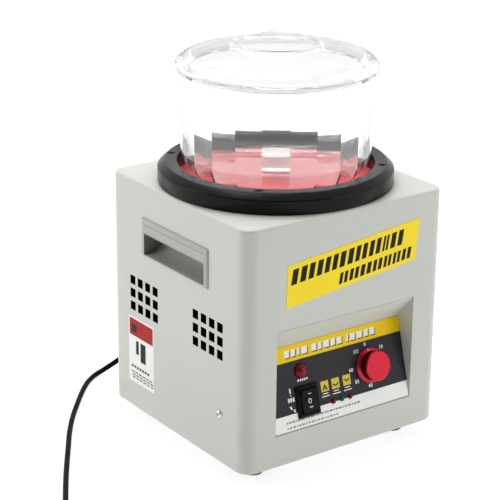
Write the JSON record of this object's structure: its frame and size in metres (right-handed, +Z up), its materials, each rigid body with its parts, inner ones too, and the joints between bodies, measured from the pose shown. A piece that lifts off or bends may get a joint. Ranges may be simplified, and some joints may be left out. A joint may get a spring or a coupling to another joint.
{
  "type": "magnetic tumbler",
  "caption": "Box-shaped magnetic tumbler: clear lidded bowl on a black collar above a square steel case with a sloping control panel, side grips and a mains lead.",
  "frame": {"origin": "on the floor under the middle of the case", "axes": "+Z up, front with the controls towards -Y, +X to the right seen from the front"},
  "size_m": [0.4466, 0.4017, 0.4008],
  "materials": {
    "case_paint": "satin powder coat, light warm grey",
    "zinc_sheet": "zinc plated sheet",
    "rubber": "moulded black rubber",
    "steel": "bright plated steel",
    "dark_steel": "blackened steel",
    "panel_print": "printed film, charcoal with yellow and white bands",
    "knob_red": "red anodised aluminium",
    "black_plastic": "moulded black plastic",
    "lamp_red": "clear red lens",
    "lamp_green": "clear green lens",
    "board_green": "circuit board",
    "component_dark": "circuit parts",
    "nylon": "natural nylon",
    "grey_plastic": "moulded grey plastic",
    "ring_black": "glossy black plastic",
    "plate_red": "glossy red plastic",
    "motor_dark": "dark enamel",
    "cast_alloy": "machined alloy",
    "copper": "varnished windings and iron",
    "magnet_grey": "ferrite magnet",
    "cord_black": "black flexible vinyl",
    "tie_black": "black strap",
    "pin_brass": "plated brass",
    "label_yellow": "printed film, yellow with black marks",
    "label_white": "printed film, white with red and black marks",
    "clear_plastic": "clear moulded plastic"
  },
  "bodies": {
    "case": {"case_shell": "case_paint", "base_tray": "zinc_sheet", "foot_front_left": "rubber", "foot_front_right": "rubber", "foot_rear_left": "rubber", "foot_rear_right": "rubber", "foot_screws": "steel", "side_screws": "steel", "control_tray": "case_paint", "panel_overlay": "panel_print", "timer_body": "zinc_sheet", "timer_nut": "steel", "switch_housing": "black_plastic", "pilot_body": "black_plastic", "pilot_lens": "lamp_red", "leds_red": "lamp_red", "led_green": "lamp_green", "control_board": "board_green", "board_spacers": "nylon", "board_parts": "component_dark", "terminal_block": "nylon", "handle_left": "grey_plastic", "handle_right": "grey_plastic", "seat_ring": "ring_black", "ring_screws": "dark_steel", "seat_plate": "plate_red", "standoffs": "steel", "motor_bracket": "zinc_sheet", "motor_can": "motor_dark", "stator": "copper", "motor_cap_upper": "cast_alloy", "motor_cap_lower": "cast_alloy", "motor_screws": "steel", "wire_loom": "cord_black", "fuse_holder": "black_plastic", "cord_gland": "cord_black", "gland_nut": "black_plastic", "cord_run": "cord_black", "cord_coil": "cord_black", "cord_tail": "cord_black", "cord_tie": "tie_black", "plug_body": "cord_black", "plug_pins": "pin_brass", "front_label": "label_yellow", "side_label": "label_white", "bearings": "steel"},
    "rotor": {"motor_shaft": "steel", "armature": "copper", "cooling_fan": "black_plastic", "magnet_hub": "cast_alloy", "hub_screw": "dark_steel", "magnet_disc": "cast_alloy", "magnets": "magnet_grey"},
    "dial": {"timer_shaft": "steel", "timer_knob": "knob_red"},
    "rocker": {"switch_rocker": "black_plastic"},
    "bowl_body": {"bowl": "clear_plastic"},
    "lid_body": {"lid": "clear_plastic"}
  },
  "joints": [
    {"name": "rotor_spin", "type": "hinge", "parent": "case", "child": "rotor", "pos_m": [0, 0, 0.15], "axis": [0, 0, 1], "continuous": true},
    {"name": "timer_turn", "type": "hinge", "parent": "case", "child": "dial", "pos_m": [0.0404, -0.11229, 0.08984], "axis": [0, -0.9646, 0.2639], "range_deg": [-279, 33]},
    {"name": "switch_rock", "type": "hinge", "parent": "case", "child": "rocker", "pos_m": [-0.041, -0.11389, 0.07338], "axis": [1, 0, 0], "range_deg": [-11, 11]},
    {"name": "bowl_lift", "type": "slide", "parent": "case", "child": "bowl_body", "axis": [0, 0, 1], "range_m": [0, 0.15]},
    {"name": "lid_lift", "type": "slide", "parent": "bowl_body", "child": "lid_body", "axis": [0, 0, 1], "range_m": [0, 0.08]}
  ]
}
